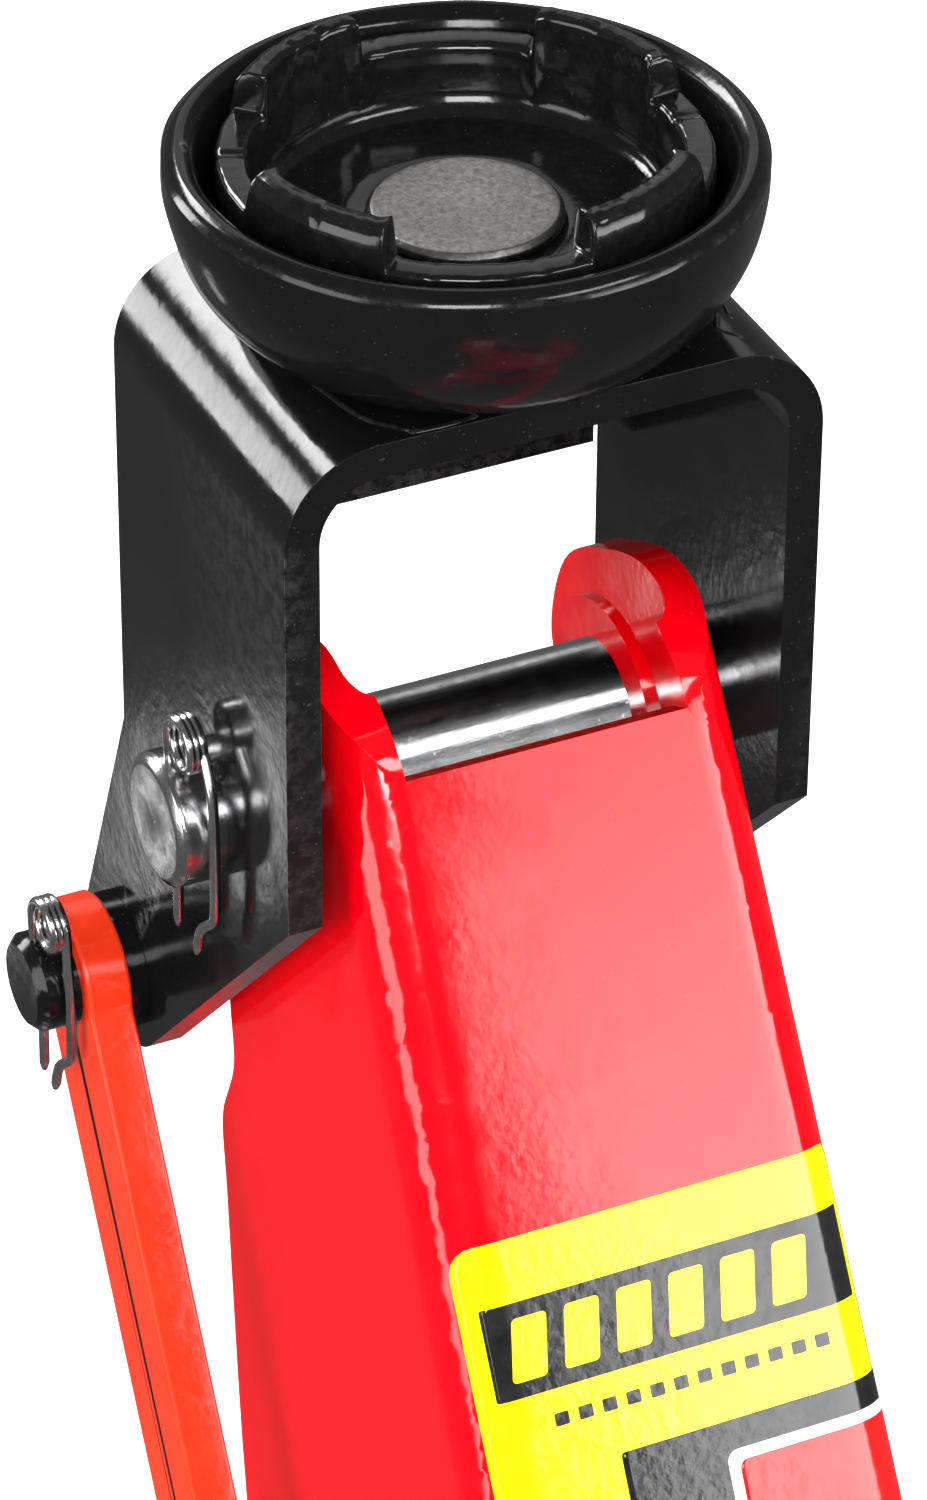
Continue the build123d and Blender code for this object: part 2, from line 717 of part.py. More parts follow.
def make_kingpin():
    pin = z_rod(7.0, 70, outrigger_low + outrigger_plate + 12, caster_x, caster_y)
    pin += z_rod(11.0, 69.5, 73.6, caster_x, caster_y)
    pin += z_hex(22, outrigger_low + outrigger_plate + 0.02,
                 outrigger_low + outrigger_plate + 9, caster_x, caster_y)
    return pin


def make_caster_fork():
    crown = z_rod(24, 74, 78, 0, 0) + z_rod(21, 77.9, outrigger_low - side_gap, 0, 0)
    outline = smooth_outline([
        (22, 78), (22, 66), (-10, 24), (-caster_trail - 12, 24), (-caster_trail - 14, 46),
        (-24, 78)
    ], 6)
    leg = side_profile(outline, 15.5, 18.5)
    fork = crown + leg + mirrored(leg)
    fork += block(-18.5, 18.5, -20, 20, 74, 78)
    fork -= z_rod(7.0 + running_gap, 60, 100, 0, 0)
    fork -= x_rod(5.02, -30, 30, -caster_trail, caster_wheel_radius)
    return Pos(caster_x, caster_y, 0) * fork


def make_caster_axle():
    axle = x_rod(5.0, -21, 23, -caster_trail, caster_wheel_radius)
    axle += x_rod(8.0, -22, -18.6, -caster_trail, caster_wheel_radius)
    axle += x_hex(15, 18.6, 22, -caster_trail, caster_wheel_radius)
    return Pos(caster_x, caster_y, 0) * axle


def make_caster_wheel():
    half = caster_wheel_width / 2
    bore = 5.0 + running_gap
    points = [(bore, -half - 2), (9, -half - 2), (9, -half + 4), (26, -half + 4), (26, -half),
              (caster_wheel_radius - 2.5, -half), (caster_wheel_radius, -half + 2.5),
              (caster_wheel_radius, half - 2.5), (caster_wheel_radius - 2.5, half), (26, half),
              (26, half - 4), (9, half - 4), (9, half + 2), (bore, half + 2)]
    wheel = Rot(0, 90, 0) * turned(points)
    return Pos(caster_x, caster_y - caster_trail, caster_wheel_radius) * wheel


# ---------------------------------------------------------------- assembly
parts["saddle_dish"] = make_dish()
parts["saddle_crown"] = make_crown()
parts["saddle_pin"] = make_saddle_pin()
parts["saddle_pin_ring"] = make_saddle_ring()
parts["saddle_yoke"] = make_yoke()
parts["yoke_pin"] = make_yoke_pin()
parts["yoke_pin_clip"] = make_r_clip(clip_x, pin_y, pin_z, yoke_pin_radius)
parts["link_pin"] = make_link_pin()
parts["link_pin_clip"] = make_r_clip(link_clip_x, link_top_y, link_top_z, link_pin_radius)
parts["lift_arm"] = make_arm()
parts["arm_tip_bosses"] = make_tip_bosses(parts["lift_arm"])
parts["arm_pivot_tube"] = make_pivot_tube()
parts["crank_pin"] = make_crank_pin()
parts["parallel_link"] = make_link()
parts["link_anchor_pin"] = make_anchor_pin()
parts["link_anchor_spacer"] = make_anchor_spacer()
parts["link_anchor_nut"] = make_anchor_nut()
parts["side_plate_left"] = make_side_plate(-1)
parts["side_plate_right"] = make_side_plate(1)
parts["chassis_brace"] = make_brace()
parts["front_axle"] = make_front_axle()
parts["front_axle_nuts"] = make_axle_nuts()
parts["arm_pivot_shaft"] = make_pivot_shaft()
parts["arm_pivot_nuts"] = make_pivot_nuts()
parts["pump_block"] = make_pump_block()
parts["pump_block_bolts"] = make_block_bolts()
parts["ram_cylinder"] = make_cylinder()
parts["ram_gland"] = make_gland()
parts["ram_rod"] = make_ram_rod()
parts["ram_crosshead"] = make_crosshead()
parts["return_spring_left"] = make_return_springs(spring_x[0])
parts["return_spring_right"] = make_return_springs(spring_x[1])
parts["unit_cover"] = make_cover()
parts["cover_screws"] = make_cover_screws()
parts["pump_piston"] = make_pump_piston()
parts["pump_spring"] = make_pump_spring()
parts["release_valve"] = make_release_valve()
parts["handle_socket"] = make_socket()
parts["socket_pivot_pins"] = make_pivot_pins()
parts["pump_roller"] = make_pump_roller()
parts["pump_roller_pin"] = make_roller_pin()
parts["handle_clamp_screw"] = make_clamp_screw()
parts["release_driver"] = make_release_driver()
parts["handle_lower_tube"] = make_lower_tube()
parts["handle_upper_tube"] = make_upper_tube()
parts["handle_lock_button"] = make_lock_button()
parts["handle_grip"] = make_grip()
parts["outrigger_bolts"] = make_outrigger_bolts()
for name, maker in (
    ("front_roller", make_front_roller),
    ("outrigger", make_outrigger),
    ("kingpin", make_kingpin),
    ("caster_fork", make_caster_fork),
    ("caster_axle", make_caster_axle),
    ("caster_wheel", make_caster_wheel),
):
    piece = maker()
    parts[name + "_right"] = piece
    parts[name + "_left"] = mirrored(piece)

box = Compound(children=[Compound(p.wrapped) for p in parts.values()]).bounding_box()
footprint_y = (box.min.Y + box.max.Y) / 2
os.makedirs("parts", exist_ok=True)
for name, shape in parts.items():
    export_step(Pos(0, -footprint_y, 0) * shape, "parts/" + name + ".step")
print("footprint centre is", round(footprint_y, 4), "behind the arm pivot; floor at",
      round(box.min.Z, 4))
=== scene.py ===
import json
import math

import bpy
from mathutils import Matrix, Vector, noise


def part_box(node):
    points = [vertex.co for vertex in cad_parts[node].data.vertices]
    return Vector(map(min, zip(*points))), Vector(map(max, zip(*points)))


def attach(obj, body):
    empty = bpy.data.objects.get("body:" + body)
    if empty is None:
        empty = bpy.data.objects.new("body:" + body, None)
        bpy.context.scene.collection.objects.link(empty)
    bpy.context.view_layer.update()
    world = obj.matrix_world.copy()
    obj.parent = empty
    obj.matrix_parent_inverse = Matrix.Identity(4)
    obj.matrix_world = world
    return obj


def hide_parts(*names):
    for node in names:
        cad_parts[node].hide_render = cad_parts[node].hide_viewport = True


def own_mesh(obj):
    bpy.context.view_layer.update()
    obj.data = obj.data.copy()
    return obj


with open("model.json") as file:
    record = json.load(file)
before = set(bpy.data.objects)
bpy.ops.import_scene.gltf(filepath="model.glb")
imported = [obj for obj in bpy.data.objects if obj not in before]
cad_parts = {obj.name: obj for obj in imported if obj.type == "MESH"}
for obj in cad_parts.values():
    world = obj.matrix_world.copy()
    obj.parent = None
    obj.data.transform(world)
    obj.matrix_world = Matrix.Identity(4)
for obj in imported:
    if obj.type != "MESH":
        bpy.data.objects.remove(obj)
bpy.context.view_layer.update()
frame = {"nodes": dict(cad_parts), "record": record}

# Hydraulic trolley jack. Metres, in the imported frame: +Y from the handle to the saddle, +Z up.
MM = 0.001


# ---------------------------------------------------------------- places read from the frame
def box_middle(node):
    low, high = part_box(node)
    return (low + high) / 2


pin = box_middle("yoke_pin")
pin.x = 0.0
saddle = box_middle("saddle_dish")
saddle.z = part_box("saddle_dish")[0].z - 0.2 * MM
yoke_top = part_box("saddle_yoke")[1].z
link_pin = box_middle("link_pin")
link_pin.x = 0.0

ARM_SLOPE = math.radians(61.5)
arm_dir = Vector((0, math.cos(ARM_SLOPE), math.sin(ARM_SLOPE)))
arm_out = Vector((0, -math.sin(ARM_SLOPE), math.cos(ARM_SLOPE)))


# ---------------------------------------------------------------- material building
class Shader:
    """A small helper that adds nodes to one material. Noise scales are per metre."""

    def __init__(self, name):
        self.material = bpy.data.materials.new(name)
        self.material.use_nodes = True
        self.tree = self.material.node_tree
        self.surface = self.tree.nodes["Principled BSDF"]
        self.place = self.tree.nodes.new("ShaderNodeTexCoord").outputs["Object"]

    def link(self, source, target):
        self.tree.links.new(source, target)

    def stretch(self, scale):
        mapping = self.tree.nodes.new("ShaderNodeMapping")
        mapping.inputs["Scale"].default_value = scale
        self.link(self.place, mapping.inputs["Vector"])
        return mapping.outputs["Vector"]

    def noise(self, scale, detail=4.0, rough=0.5, where=None, warp=0.0):
        node = self.tree.nodes.new("ShaderNodeTexNoise")
        node.inputs["Scale"].default_value = scale
        node.inputs["Detail"].default_value = detail
        node.inputs["Roughness"].default_value = rough
        node.inputs["Distortion"].default_value = warp
        self.link(where or self.place, node.inputs["Vector"])
        return node.outputs["Fac"]

    def spread(self, source, low, high, out_low=0.0, out_high=1.0):
        node = self.tree.nodes.new("ShaderNodeMapRange")
        node.inputs["From Min"].default_value = low
        node.inputs["From Max"].default_value = high
        node.inputs["To Min"].default_value = out_low
        node.inputs["To Max"].default_value = out_high
        self.link(source, node.inputs["Value"])
        return node.outputs["Result"]

    def maths(self, operation, first, second):
        node = self.tree.nodes.new("ShaderNodeMath")
        node.operation = operation
        for slot, value in enumerate((first, second)):
            if isinstance(value, float):
                node.inputs[slot].default_value = value
            else:
                self.link(value, node.inputs[slot])
        return node.outputs[0]

    def mix(self, share, first, second):
        node = self.tree.nodes.new("ShaderNodeMix")
        node.data_type = "RGBA"
        self.link(share, node.inputs[0])
        colour_a, colour_b, colour_result = 6, 7, 2
        for slot, value in ((colour_a, first), (colour_b, second)):
            if isinstance(value, tuple):
                node.inputs[slot].default_value = (*value, 1.0)
            else:
                self.link(value, node.inputs[slot])
        return node.outputs[colour_result]

    def edges(self, low=0.53, high=0.62):
        """1 on sharp outer edges, 0 on flats and hollows."""
        geometry = self.tree.nodes.new("ShaderNodeNewGeometry")
        return self.spread(geometry.outputs["Pointiness"], low, high)

    def bump(self, height, distance, strength=1.0, under=None):
        node = self.tree.nodes.new("ShaderNodeBump")
        node.inputs["Distance"].default_value = distance
        node.inputs["Strength"].default_value = strength
        self.link(height, node.inputs["Height"])
        if under is not None:
            self.link(under, node.inputs["Normal"])
        return node.outputs["Normal"]

    def put(self, **values):
        """Fill the surface's sockets; an underscore in a name stands for a space."""
        for name, value in values.items():
            socket = self.surface.inputs[name.replace("_", " ")]
            if isinstance(value, bpy.types.NodeSocket):
                self.link(value, socket)
            else:
                socket.default_value = value
        return self.material


def enamel(name, colour, deep, wear_and_edge_light, rough=(0.07, 0.16), peel=0.05, sag=0.25, specular=0.5,
           worn_highlit_edges=True):
    """Sprayed enamel: orange peel, slow sags, a little dust, and lighter edges that are partly
    paint wear and partly a painted highlight.
    """
    s = Shader(name)
    dust_share, flat_wear = 0.35, 0.04
    blotch = s.spread(s.noise(38, 5, 0.6), 0.3, 0.75)
    body = s.mix(blotch, colour, deep)
    specks = s.spread(s.noise(1500, 2, 0.4), 0.72, 0.76)
    dusty = s.mix(s.maths("MULTIPLY", specks, dust_share), body, wear_and_edge_light)
    # Sharp edges take the lighter colour: partly paint wear, partly a painted highlight.
    wear_and_edge_highlight = s.spread(s.noise(420, 6, 0.7), 0.42, 0.62)
    wear_and_edge_highlight = s.maths("MULTIPLY", s.edges() if worn_highlit_edges else flat_wear, wear_and_edge_highlight)
    skin = s.noise(620, 2, 0.45)
    waves = s.noise(70, 3, 0.5, warp=0.4)
    slow = s.bump(waves, sag * MM)
    return s.put(
        Base_Color=s.mix(wear_and_edge_highlight, dusty, wear_and_edge_light),
        Roughness=s.spread(s.noise(160, 5, 0.65), 0.3, 0.75, *rough),
        Specular_IOR_Level=specular,
        Normal=s.bump(skin, peel * MM, 0.8, slow),
    )


def metal(name, colour, deep, rough=(0.12, 0.3), grain=(1, 1, 1), grain_scale=900, depth=0.02,
          metallic=1.0, mottle_scale=240):
    """Bare or plated metal with directional grain, mottling, a few stains, and a painted highlight
    on its sharp edges.
    """
    s = Shader(name)
    stain_share, pit_share, mottle_share = 0.35, 0.6, 0.6
    bright = tuple(min(1.0, 1.5 * c) for c in colour)
    stained = tuple(0.55 * c for c in deep)
    lines = s.noise(grain_scale, 5, 0.7, s.stretch(grain))
    mottle = s.noise(mottle_scale, 6, 0.65, warp=0.6)
    stain = s.spread(s.noise(55, 4, 0.6), 0.45, 0.72)
    tone_and_edge_highlight = s.mix(s.spread(mottle, 0.35, 0.7), colour, deep)
    # Painted highlight: sharp edges are lightened to half again the metal's colour.
    tone_and_edge_highlight = s.mix(s.edges(0.54, 0.6), tone_and_edge_highlight, bright)
    pits = s.spread(s.noise(1300, 3, 0.5), 0.68, 0.75)
    height = s.maths("SUBTRACT", lines, s.maths("MULTIPLY", pits, pit_share))
    dull = s.maths("ADD", s.maths("MULTIPLY", mottle, mottle_share),
                   s.maths("MULTIPLY", lines, 1 - mottle_share))
    return s.put(
        Base_Color=s.mix(s.maths("MULTIPLY", stain, stain_share), tone_and_edge_highlight, stained),
        Metallic=metallic,
        Roughness=s.spread(dull, 0.3, 0.7, *rough),
        Normal=s.bump(height, depth * MM),
    )


def rubber(name, colour, deep):
    """Moulded rubber with a fine grain and settled dust."""
    s = Shader(name)
    grain = s.noise(1100, 4, 0.6)
    dust = s.spread(s.noise(60, 5, 0.6), 0.5, 0.8)
    return s.put(
        Base_Color=s.mix(s.maths("MULTIPLY", dust, 0.5), colour, deep),
        Roughness=s.spread(s.noise(90, 4, 0.6), 0.3, 0.7, 0.55, 0.8),
        Specular_IOR_Level=0.3,
        Normal=s.bump(grain, 0.06 * MM),
    )


def vinyl(name, colour, deep):
    """Glossy printed sheet."""
    s = Shader(name)
    return s.put(
        Base_Color=s.mix(s.spread(s.noise(180, 4, 0.6), 0.35, 0.75), colour, deep),
        Roughness=s.spread(s.noise(300, 4, 0.6), 0.3, 0.7, 0.08, 0.16),
        Normal=s.bump(s.noise(500, 2, 0.5), 0.03 * MM),
    )


BLACK, BLACK_DEEP, BLACK_WEAR_AND_EDGE_LIGHT = (0.0035, 0.0035, 0.0038), (0.006, 0.006, 0.006), (0.09, 0.09, 0.09)
looks = {
    "red_enamel": enamel("red_enamel", (0.86, 0.0, 0.004), (0.76, 0.0, 0.006), (0.95, 0.05, 0.03),
                         rough=(0.06, 0.13), peel=0.014, sag=0.025),
    "orange_red_enamel": enamel("orange_red_enamel", (0.9, 0.045, 0.008), (0.8, 0.03, 0.006),
                                (1.0, 0.16, 0.05), rough=(0.16, 0.26)),
    "black_enamel": enamel("black_enamel", BLACK, BLACK_DEEP, BLACK_WEAR_AND_EDGE_LIGHT, rough=(0.1, 0.2),
                           peel=0.03, sag=0.12, specular=0.3),
    "bare_rivet_steel": metal("bare_rivet_steel", (0.42, 0.41, 0.4), (0.17, 0.165, 0.16),
                              rough=(0.28, 0.46), grain_scale=600, depth=0.12,
                              mottle_scale=900),
    "bright_steel": metal("bright_steel", (0.66, 0.66, 0.67), (0.42, 0.42, 0.43),
                          rough=(0.12, 0.3), grain=(0.15, 2, 2), depth=0.02),
    "spring_wire": metal("spring_wire", (0.8, 0.8, 0.8), (0.5, 0.5, 0.5), rough=(0.12, 0.25)),
    "zinc_plate": metal("zinc_plate", (0.62, 0.61, 0.55), (0.4, 0.39, 0.34), rough=(0.22, 0.4)),
    "dark_iron": metal("dark_iron", (0.07, 0.07, 0.075), (0.03, 0.03, 0.032), rough=(0.3, 0.5),
                       depth=0.08, metallic=0.6),
    "machined_steel": metal("machined_steel", (0.5, 0.5, 0.5), (0.3, 0.3, 0.31),
                            rough=(0.2, 0.38), grain=(2, 0.2, 2)),
    "hard_chrome": metal("hard_chrome", (0.72, 0.72, 0.74), (0.5, 0.5, 0.52), rough=(0.06, 0.14),
                         grain=(2, 0.2, 2), depth=0.008),
    "grip_rubber": rubber("grip_rubber", (0.012, 0.012, 0.012), (0.05, 0.05, 0.048)),
}
# The cup's mesh is too fine for Pointiness, so its enamel has no lighter edges of paint wear and
# painted highlight.
cup_enamel = enamel("cup_enamel", BLACK, BLACK_DEEP, BLACK_WEAR_AND_EDGE_LIGHT, rough=(0.09, 0.18), peel=0.03,
                    sag=0.12, specular=0.4, worn_highlit_edges=False)
label_yellow = vinyl("label_yellow", (1.0, 0.9, 0.0), (1.0, 0.84, 0.0))
label_black = vinyl("label_black", (0.008, 0.008, 0.008), (0.02, 0.02, 0.02))
label_red = vinyl("label_red", (0.8, 0.01, 0.008), (0.7, 0.008, 0.01))
label_white = vinyl("label_white", (0.9, 0.9, 0.9), (0.82, 0.82, 0.82))


# ---------------------------------------------------------------- mesh building
def mesh_piece(name, points, faces, material, smooth=True):
    mesh = bpy.data.meshes.new(name)
    mesh.from_pydata([tuple(p) for p in points], [], faces)
    mesh.validate()
    for polygon in mesh.polygons:
        polygon.use_smooth = smooth
    piece = bpy.data.objects.new(name, mesh)
    bpy.context.scene.collection.objects.link(piece)
    mesh.materials.append(material)
    return piece


def softened(points, radius, steps=4, closed=True):
    """Round the corners of a 2-D outline with quadratic curves."""
    result = []
    count = len(points)
    side_share = 0.45
    for i, (x, y) in enumerate(points):
        if not closed and i in (0, count - 1):
            result.append((x, y))
            continue
        here = Vector((x, y))
        before = Vector(points[i - 1]) - here
        after = Vector(points[(i + 1) % count]) - here
        cut = min(radius, before.length * side_share, after.length * side_share)
        start = here + before.normalized() * cut
        end = here + after.normalized() * cut
        for step in range(steps + 1):
            t = step / steps
            bent = start * (1 - t) ** 2 + here * 2 * t * (1 - t) + end * t ** 2
            result.append((bent.x, bent.y))
    return result


def lathe(name, outline, centre, material, axis="Z", steps=144, wobble=0.0):
    """Turn a closed outline of (radius, height), in millimetres, about an axis through centre."""
    points = []
    lumps, lump_height = 3, 9
    for step in range(steps):
        angle = 2 * math.pi * step / steps
        for radius, height in outline:
            spot = (lumps * math.cos(angle), lumps * math.sin(angle), height / lump_height)
            lump = 1 + wobble * noise.noise(spot)
            a = radius * lump * math.cos(angle) * MM
            b = radius * lump * math.sin(angle) * MM
            offset = (a, b, height * MM) if axis == "Z" else (height * MM, a, b)
            points.append(centre + Vector(offset))
    rows = len(outline)
    faces = []
    for step in range(steps):
        following = (step + 1) % steps
        for row in range(rows):
            up = (row + 1) % rows
            faces.append((step * rows + row, following * rows + row, following * rows + up,
                          step * rows + up))
    if axis == "Z":
        faces = [face[::-1] for face in faces]
    return mesh_piece(name, points, faces, material)


def wire(name, route, radius, material, sides=14):
    """Sweep a round wire along a route of points, narrowed at both ends."""
    points, faces = [], []
    end_share = 0.55
    normal = Vector((0.3, 0.9, 0.1))
    count = len(route)
    for i, place in enumerate(route):
        ahead = (route[min(i + 1, count - 1)] - route[max(i - 1, 0)]).normalized()
        normal = (normal - ahead * normal.dot(ahead)).normalized()
        other = ahead.cross(normal)
        size = radius * (end_share if i in (0, count - 1) else 1.0)
        for side in range(sides):
            angle = 2 * math.pi * side / sides
            points.append(place + (normal * math.cos(angle) + other * math.sin(angle)) * size)
    for i in range(count - 1):
        for side in range(sides):
            turn = (side + 1) % sides
            faces.append((i * sides + side, i * sides + turn, (i + 1) * sides + turn,
                          (i + 1) * sides + side))
    faces.append(tuple(reversed(range(sides))))
    faces.append(tuple((count - 1) * sides + side for side in range(sides)))
    return mesh_piece(name, points, faces, material)


def smooth_route(points, steps=10):
    """A Catmull-Rom line through the points."""
    padded = [points[0] * 2 - points[1]] + list(points) + [points[-1] * 2 - points[-2]]
    route = []
    for a, b, c, d in zip(padded, padded[1:], padded[2:], padded[3:]):
        for step in range(steps):
            t = step / steps
            route.append(0.5 * (2 * b + (c - a) * t + (2 * a - 5 * b + 4 * c - d) * t ** 2
                                + (3 * b - a - 3 * c + d) * t ** 3))
    return route + [points[-1]]


# ---------------------------------------------------------------- finish of the CAD nodes
WELD_GAP, EDGE_ANGLE, USUAL_EDGE = 0.02, 30, 0.45


def dress(node, slot, width):
    """Give a CAD node soft edges and its finish; its mesh stays as packed."""
    piece = frame["nodes"][node]
    mesh = piece.data
    custom = mesh.attributes.get("custom_normal")
    if custom is not None:
        mesh.attributes.remove(custom)
    for polygon in mesh.polygons:
        polygon.use_smooth = True
    mesh.materials.clear()
    mesh.materials.append(looks[slot])
    weld = piece.modifiers.new("weld", "WELD")
    weld.merge_threshold = WELD_GAP * MM
    soften = piece.modifiers.new("soften", "BEVEL")
    soften.width = width * MM
    soften.segments = 3
    soften.limit_method = "ANGLE"
    soften.angle_limit = math.radians(EDGE_ANGLE)
    soften.harden_normals = False
    even = piece.modifiers.new("even", "WEIGHTED_NORMAL")
    even.keep_sharp = True


slot_nodes = {entry["node"]: entry["material_slot"] for entry in frame["record"]["subparts"]}
edge_width = {
    "saddle_yoke": 0.9, "lift_arm": 0.7, "parallel_link": 0.9, "side_plate_left": 0.7,
    "side_plate_right": 0.7, "pump_block": 1.0, "ram_crosshead": 0.8, "yoke_pin_clip": 0.1,
    "link_pin_clip": 0.1, "unit_cover": 0.3, "cover_screws": 0.2,
}
for node, slot in slot_nodes.items():
    dress(node, slot, edge_width.get(node, USUAL_EDGE))


# ---------------------------------------------------------------- saddle
RIVET_HOLE = 8.1
LUG_MIDDLE, LUG_HALF, LUG_PITCH = 25.5, 20.5, 90
CUP_OUTER, CUP_INNER = 39.2, 33.8
CUP_LOW, CUP_FLOOR, WALL_TOP, LUG_TOP = 9.4, 14.8, 26.8, 33.6
CUP_FLAT = 20


def make_dish():
    """Pressed bowl: its hole, floor and rolled rim, then the flank back down to the yoke."""
    low, floor, lip = 0.4, 9.2, 1.6
    outline = [(RIVET_HOLE, low), (RIVET_HOLE, floor)]
    outline += softened([(RIVET_HOLE, floor), (39.8, floor), (40.0, 21.0), (42.6, 27.2),
                         (45.3, 28.6), (47.7, 26.6)], lip, 6, closed=False)[1:]
    flank = [Vector((47.7, 26.6, 0)), Vector((47.4, 20.5, 0)), Vector((45.6, 13.2, 0)),
             Vector((42.2, 6.6, 0)), Vector((37.6, 1.6, 0)), Vector((34.5, low, 0))]
    outline += [(p.x, p.y) for p in smooth_route(flank, 6)][1:]
    piece = lathe("saddle_dish_look", outline, saddle, looks["black_enamel"], wobble=0.006,
                  steps=200)
    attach(piece, "saddle")
    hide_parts("saddle_dish")


def past_lug_edge(angle):
    """Degrees from an angle round the saddle to the nearest lug's edge, below zero on a lug."""
    half_pitch = LUG_PITCH / 2
    return abs((angle - LUG_MIDDLE + half_pitch) % LUG_PITCH - half_pitch) - LUG_HALF


def lug_share(angle):
    """1 on the four lugs, 0 between them, with a steep flank of about a degree."""
    flank = 1.1
    return min(1.0, max(0.0, 0.5 - past_lug_edge(angle) / flank))


def cup_outline(angle):
    """The cup's (radius, height) section at an angle: rough, chipped tops on wavy walls."""
    share = lug_share(angle)
    rough = noise.noise((angle / 2.3, 4.0, 1.0)) * 0.35
    chip = max(0.0, noise.noise((angle / 5.0, 1.0, 7.0)) - 0.25)
    top = WALL_TOP + (LUG_TOP - WALL_TOP) * share
    top -= abs(rough) * (0.4 + 0.9 * share) + chip * 1.1
    near_edge = math.exp(-(past_lug_edge(angle) / 2.2) ** 2)
    inward = CUP_INNER - 0.9 * near_edge + 0.25 * noise.noise((angle / 9, 2.0, 3.0))
    outward = CUP_OUTER - 0.5 * share + 0.18 * noise.noise((angle / 7, 8.0, 3.0))
    hatch = 0.12 * noise.noise((angle * 1.7, 3.0, 9.0)) * (1 - 0.6 * share)
    drop = 0.9 + 2.2 * share
    shoulder = [(outward, top - drop), (outward - 0.12 * drop - 0.1, top - 0.52 * drop),
                (outward - 0.4 * drop - 0.1, top - 0.18 * drop)]
    crest = [(outward - 0.75 * drop - 0.3, top + hatch),
             ((outward + inward) / 2 - 0.4, top - 0.1 + hatch), (inward + 1.2, top - 0.05),
             (inward + 0.45, top - 0.4), (inward + 0.1, top - 1.3)]
    well = [(inward, 22.5), (CUP_INNER - 0.3, 18.6), (CUP_INNER - 1.1, 16.4),
            (CUP_INNER - 2.7, CUP_FLOOR + 0.15), (CUP_INNER - 3.6, CUP_FLOOR)]
    base = [(CUP_FLAT, CUP_FLOOR), (RIVET_HOLE, CUP_FLOOR), (RIVET_HOLE, CUP_LOW),
            (CUP_FLAT, CUP_LOW)]
    return [(outward, CUP_LOW)] + shoulder + crest + well + base


def make_crown():
    """Crenellated cup, with its columns close together at the lugs' edges."""
    fine_step, coarse_step, fine_reach = 0.22, 1.2, 1.4
    columns = []
    angle = 0.0
    while angle < 360:
        spoke = Vector((math.cos(math.radians(angle)), math.sin(math.radians(angle)), 0))
        columns.append([saddle + (spoke * radius + Vector((0, 0, height))) * MM
                        for radius, height in cup_outline(angle)])
        angle += fine_step if abs(past_lug_edge(angle)) < fine_reach else coarse_step
    rows = len(columns[0])
    points = [p for column in columns for p in column]
    faces = []
    for i in range(len(columns)):
        j = (i + 1) % len(columns)
        for row in range(rows):
            up = (row + 1) % rows
            faces.append((i * rows + row, i * rows + up, j * rows + up, j * rows + row)[::-1])
    piece = mesh_piece("saddle_crown_look", points, faces, cup_enamel)
    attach(piece, "saddle")
    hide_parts("saddle_crown")


def make_rivet():
    """Rivet with a flat, slightly hollow head; two close rings keep its centre clean."""
    top, tail, shank, head, head_low = 16.85, -10.4, 7.9, 15.7, 14.9
    outline = softened([(0.01, tail), (shank, tail), (shank, head_low), (head, head_low),
                        (head, top - 0.9), (14.9, top - 0.05), (14.0, top), (1.2, top - 0.23),
                        (0.6, top - 0.24), (0.01, top - 0.25)], 0.2, 3)
    piece = lathe("saddle_rivet_look", outline, saddle, looks["bare_rivet_steel"])
    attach(piece, "saddle")
    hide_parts("saddle_pin")


# ---------------------------------------------------------------- pins and clips
YOKE_PIN_RADIUS, LINK_PIN_RADIUS = 11.5, 8.8


def make_clip(name, node, body, centre, radius):
    """Split clip: a leg down through the pin, two and a half coils on top, a leg in front."""
    eye, gap, clip_wire, turns, turn_steps = 4.4, 1.05, 0.93, 2.5, 16
    top, front, tip = radius + eye + 1.2, -radius - 1.5, -radius - 10.6
    route = [Vector((0, 0.2, tip)), Vector((0, 0, -radius - 4)), Vector((0, 0, 0)),
             Vector((-gap, 0, top - 5))]
    coil_steps = int(turns * turn_steps)
    for step in range(coil_steps + 1):
        angle = 2 * math.pi * step / turn_steps
        along = gap * (-1.2 + 2.4 * step / coil_steps)
        route.append(Vector((along, -eye + eye * math.cos(angle), top + eye * math.sin(angle))))
    route += [Vector((gap, front + 0.6, top - 6)), Vector((gap, front, 2)),
              Vector((gap, front, -radius + 1)), Vector((gap * 0.8, front + 0.7, -radius - 2.2)),
              Vector((0, front + 3.6, -radius - 5.5)), Vector((-0.4, front + 4.6, tip))]
    place = Vector((box_middle(node).x, centre.y, centre.z))
    piece = wire(name, [place + p * MM for p in smooth_route(route, 4)], clip_wire * MM,
                 looks["spring_wire"])
    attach(piece, body)
    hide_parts(node)


def make_yoke_pin():
    """Bright pin with a bevelled left end and a flat head on the right."""
    low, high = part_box("yoke_pin")
    left, right = low.x / MM, high.x / MM
    shank, head, head_start = YOKE_PIN_RADIUS, 15.4, right - 5.05
    outline = softened([(0.01, left + 0.15), (shank - 1.6, left), (shank - 0.2, left + 0.9),
                        (shank, left + 1.6), (shank, head_start), (head, head_start),
                        (head, right - 0.6), (head - 0.8, right), (0.01, right)], 0.4, 3)
    piece = lathe("yoke_pin_look", outline, pin, looks["bright_steel"], axis="X")
    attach(piece, "yoke")
    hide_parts("yoke_pin")


